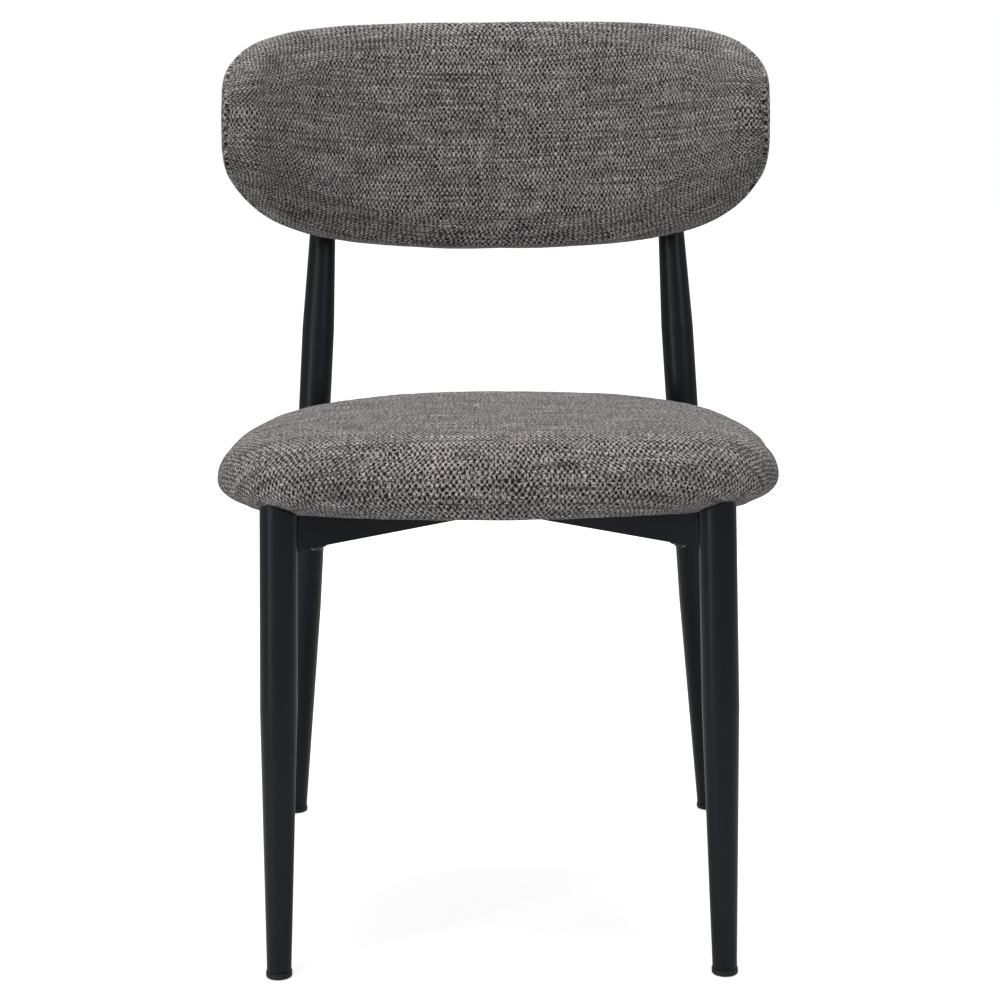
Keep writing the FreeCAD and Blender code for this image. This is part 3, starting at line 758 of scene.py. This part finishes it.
def joined(name, pieces, finish):
    """One piece made of many, smooth but for its sharp corners."""
    bpy.ops.object.select_all(action="DESELECT")
    for piece in pieces:
        piece.select_set(True)
    bpy.context.view_layer.objects.active = pieces[0]
    bpy.ops.object.join()
    whole = bpy.context.object
    whole.name = name
    bpy.ops.object.shade_smooth_by_angle(angle=math.radians(50))
    whole.data.materials.clear()
    whole.data.materials.append(finish)
    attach(whole, "root")
    return whole


def frame_of(place, along, up):
    """Matrix with its X along one direction and its Z near another."""
    x = along.normalized()
    z = (up - x * up.dot(x)).normalized()
    turn = Matrix((x, z.cross(x), z)).transposed()
    return Matrix.Translation(place) @ turn.to_4x4()


class CHAIR_OT_weld_beads(bpy.types.Operator):
    """Weld beads where the rails meet the legs and each other"""

    bl_idname = "chair.weld_beads"
    bl_label = "Weld beads"

    def execute(self, context):
        radius = context.scene.chair_metal.bead
        low, high = RAIL_LOW.z, RAIL_HIGH.z
        middle, rail_half = (low + high) / 2, 10 * MM
        upright = straight_bead(radius, high - low - 2 * MM, 9)
        under = curved_bead(radius, 16.4 * MM, math.radians(40))
        beads = []
        for side in (1, -1):
            ends = []
            for foot, top in LEG_AXES:
                foot, top = Vector(foot), Vector(top)
                lean = (top - foot).normalized()
                ends.append((foot + lean * ((middle - foot.z) / lean.z), lean))
            (front, front_lean), (rear, rear_lean) = ends
            rear, rear_lean = [Vector((-v.x, v.y, v.z)) for v in (rear, rear_lean)]
            run = (rear - front).normalized()
            sideways = run.cross(Vector((0, 0, 1)))
            for place, lean, along in ((front, front_lean, run), (rear, rear_lean, -run)):
                for edge in (1, -1):
                    spot = place + along * 12.9 * MM + sideways * edge * (rail_half + 0.2 * MM)
                    rise = lean - sideways * lean.dot(sideways)
                    beads.append((upright, Matrix.Translation(spot) @ rise.to_track_quat("Z", "Y").to_matrix().to_4x4()))
                bottom = place + lean * ((low - middle) / lean.z)
                beads.append((under, frame_of(bottom, along, Vector((0, 0, 1)))))
            mirror = Matrix.Diagonal((side, 1, 1, 1))
            if side == 1:
                one_side = beads
                beads = []
        made = [copied(bead, matrix) for bead, matrix in one_side]
        made += [copied(bead, Matrix.Diagonal((-1, 1, 1, 1)) @ matrix) for bead, matrix in one_side]
        cross = front + run * (-front.x / run.x)
        for direction in (1, -1):
            other = Vector((-run.x, run.y, 0)).normalized() * direction
            for edge in (1, -1):
                # The corner between the side of the through rail and the side of the rail that meets it.
                reach = (rail_half + rail_half * edge * direction * run.dot(Vector((-run.x, run.y, 0)))) / abs(
                    run.cross(other).z)
                normal = other.cross(Vector((0, 0, 1)))
                spot = cross + other * reach + normal * edge * direction * rail_half
                made.append(copied(upright, Matrix.Translation(spot)))
        for model in (upright, under):
            bpy.data.objects.remove(model)
        whole = joined("weld_beads", made, frame["nodes"]["cross_rail_long"].material_slots[0].material)
        pick(whole, "polygons", lambda face: True)
        bpy.ops.mesh.normals_make_consistent(inside=False)
        bpy.ops.object.mode_set(mode="OBJECT")
        return {"FINISHED"}


class CHAIR_OT_staples(bpy.types.Operator):
    """Staples that hold the turned-in fabric and the dust cloth to the seat board"""

    bl_idname = "chair.staples"
    bl_label = "Staples"

    def execute(self, context):
        sizes = context.scene.chair_seat
        bpy.ops.mesh.primitive_cube_add(size=1.0)
        staple = context.object
        open_edit(staple)
        bpy.ops.object.mode_set(mode="EDIT")
        bpy.ops.mesh.select_all(action="SELECT")
        bpy.ops.transform.resize(value=(10 * MM, 1.1 * MM, 0.6 * MM))
        bpy.ops.mesh.bevel(offset=0.22 * MM, segments=2)
        bpy.ops.object.mode_set(mode="OBJECT")
        middle = SEAT_LOW.y + sizes.widest_setback
        inset = sizes.lower_round + sizes.hem + 4 * MM
        reaches = (sizes.width / 2 - inset, sizes.widest_setback - inset, SEAT_HIGH.y - middle - inset)
        powers = (sizes.front_squareness, sizes.rear_squareness)
        fine = spread(*powers, *reaches, 720)
        x, y = outline(fine, *powers, *reaches)
        girth = np.hypot(np.diff(x, append=x[0]), np.diff(y, append=y[0])).sum()
        number = round(girth / context.scene.chair_metal.staple_gap)
        nx, ny = outward(x, y)
        rng = np.random.default_rng(5)
        made = []
        for index in range(number):
            spot = int((index + rng.uniform(-0.15, 0.15)) * 720 / number) % 720
            heading = math.atan2(nx[spot], -ny[spot]) + rng.uniform(-0.16, 0.16)
            place = Vector((x[spot], middle + y[spot], SEAT_LOW.z - 0.2 * MM))
            made.append(copied(staple, Matrix.Translation(place) @ Matrix.Rotation(heading, 4, "Z")))
        bpy.data.objects.remove(staple)
        joined("seat_staples", made, frame["nodes"]["seat_t_nuts"].material_slots[0].material)
        return {"FINISHED"}


class CHAIR_OT_finishes(bpy.types.Operator):
    """Finishes of the tubes, rails, feet, boards and fastenings"""

    bl_idname = "chair.finishes"
    bl_label = "Frame and hardware finishes"

    def execute(self, context):
        coat = context.scene.chair_metal.coat
        made = {
            "powder_coat": grained_material("powder_coat", coat, 1300.0, 0.30, 0.33, 0.00006, specular=0.22),
            "black_plastic": grained_material("black_plastic", (0.010, 0.010, 0.011), 700.0, 0.3, 0.5, 0.00008),
            "zinc_steel": grained_material("zinc_steel", (0.55, 0.55, 0.52), 900.0, 0.35, 0.34, 0.00003, 1.0),
            "black_steel": grained_material("black_steel", (0.05, 0.05, 0.053), 1100.0, 0.4, 0.32, 0.00003, 0.6),
            "dust_cloth": grained_material("dust_cloth", (0.012, 0.012, 0.013), 420.0, 1.1, 0.9, 0.0005,
                                           specular=0.2),
            "foam": grained_material("foam", (0.82, 0.79, 0.66), 800.0, 0.25, 0.9, 0.0006, specular=0.2),
            "plywood": plywood_material(),
        }
        for part in frame["record"]["subparts"]:
            finish = made.get(part["material_slot"])
            cad = frame["nodes"].get(part["node"])
            if finish is None or cad is None:
                continue
            for place in cad.material_slots:
                place.material = finish
        return {"FINISHED"}


class CHAIR_OT_stage(bpy.types.Operator):
    """Floor, lights, white surround and camera"""

    bl_idname = "chair.stage"
    bl_label = "Studio"

    def execute(self, context):
        look = context.scene.chair_stage
        bpy.ops.object.select_all(action="DESELECT")
        bpy.ops.mesh.primitive_plane_add(size=24.0, location=(0.0, 0.0, -0.0003))
        floor = context.object
        floor.name = "studio_floor"
        made, w, shader = material("studio_floor")
        w.tree.nodes.remove(shader)
        matte = w.node("ShaderNodeBsdfDiffuse", {"Color": (*look.floor, 1.0)})
        seen = w.node("ShaderNodeLightPath")
        place = w.node("ShaderNodeTexCoord").outputs["Object"]
        away = w.node("ShaderNodeVectorMath", {0: place}, operation="LENGTH").outputs["Value"]
        fade = w.ramp(away, 0.55, 2.0, look.glow, 1.0)
        glow = w.node("ShaderNodeEmission", {"Color": (1.0, 1.0, 1.0, 1.0),
                                             "Strength": w.math("MULTIPLY", seen.outputs["Is Camera Ray"], fade)})
        both = w.node("ShaderNodeAddShader", {0: matte.outputs[0], 1: glow.outputs[0]})
        output = next(n for n in w.tree.nodes if n.type == "OUTPUT_MATERIAL")
        w.tree.links.new(both.outputs[0], output.inputs["Surface"])
        floor.data.materials.append(made)

        world = bpy.data.worlds.new("studio_surround")
        context.scene.world = world
        world.use_nodes = True
        w = Wiring(world.node_tree)
        seen = w.node("ShaderNodeLightPath")
        direct = w.math("MAXIMUM", seen.outputs["Is Camera Ray"], seen.outputs["Is Transmission Ray"])
        shiny = w.math("MULTIPLY", seen.outputs["Is Glossy Ray"], 0.35)
        strength = w.math("MAXIMUM", w.math("MAXIMUM", direct, shiny), 0.22)
        surround = w.tree.nodes["Background"]
        surround.inputs["Color"].default_value = (1.0, 1.0, 1.0, 1.0)
        w.tree.links.new(strength, surround.inputs["Strength"])

        target = Vector((0.0, 0.0, 0.45))
        for name, place, size, power in (
                ("key_left", (-1.3, -1.9, 2.1), (1.3, 1.3), 21.0),
                ("key_right", (1.7, -1.5, 1.7), (1.2, 1.2), 10.0),
                ("strip_left", (-1.9, -1.7, 0.6), (0.35, 1.2), 9.0),
                ("overhead", (0.0, 0.0, 2.4), (1.6, 1.6), 37.0),
                ("behind", (0.4, 2.2, 1.9), (1.4, 1.4), 14.0)):
            bpy.ops.object.light_add(type="AREA", location=place)
            lamp = context.object
            lamp.name = name
            lamp.data.shape = "RECTANGLE"
            lamp.data.size, lamp.data.size_y = size
            lamp.data.energy = power
            lamp.rotation_euler = (target - lamp.location).to_track_quat("-Z", "Y").to_euler()

        lens = bpy.data.cameras.new("camera")
        camera = bpy.data.objects.new("camera", lens)
        context.scene.collection.objects.link(camera)
        context.scene.camera = camera
        lens.lens = look.lens
        lens.sensor_width = 36.0
        lens.shift_y = 0.01897
        feet = (FEET_LOW.y + FEET_HIGH.y) / 2
        camera.location = (look.aside, feet - look.distance, look.height)
        turn = Matrix.Rotation(look.yaw, 4, "Z") @ Matrix.Rotation(math.pi / 2 - look.pitch, 4, "X")
        camera.rotation_euler = (turn @ Matrix.Rotation(look.roll, 4, "Z")).to_euler()
        context.scene.view_settings.view_transform = "Standard"
        return {"FINISHED"}


class CHAIR_PT_panel(bpy.types.Panel):
    """Lists the chair's builders"""

    bl_label = "Dining chair"
    bl_idname = "CHAIR_PT_panel"
    bl_space_type = "VIEW_3D"
    bl_region_type = "UI"
    bl_category = "Chair"

    def draw(self, context):
        for builder in BUILDERS:
            self.layout.operator(builder.bl_idname)


BUILDERS = (CHAIR_OT_finishes, CHAIR_OT_seat_cushion, CHAIR_OT_back_pad, CHAIR_OT_weld_beads, CHAIR_OT_staples,
            CHAIR_OT_stage)
SETTINGS = {"chair_seat": SeatSizes, "chair_back": BackSizes, "chair_fabric": FabricLook,
            "chair_metal": MetalLook, "chair_stage": StageLook}


def register():
    for kind in (*SETTINGS.values(), *BUILDERS, CHAIR_PT_panel):
        bpy.utils.register_class(kind)
    for name, kind in SETTINGS.items():
        setattr(bpy.types.Scene, name, PointerProperty(type=kind))


def unregister():
    for name in SETTINGS:
        delattr(bpy.types.Scene, name)
    for kind in (CHAIR_PT_panel, *reversed(BUILDERS), *reversed(SETTINGS.values())):
        bpy.utils.unregister_class(kind)


def main():
    register()
    bpy.ops.chair.finishes()
    bpy.ops.chair.seat_cushion()
    bpy.ops.chair.back_pad()
    bpy.ops.chair.weld_beads()
    bpy.ops.chair.staples()
    bpy.ops.chair.stage()
    import json


if __name__ == "__main__":
    main()
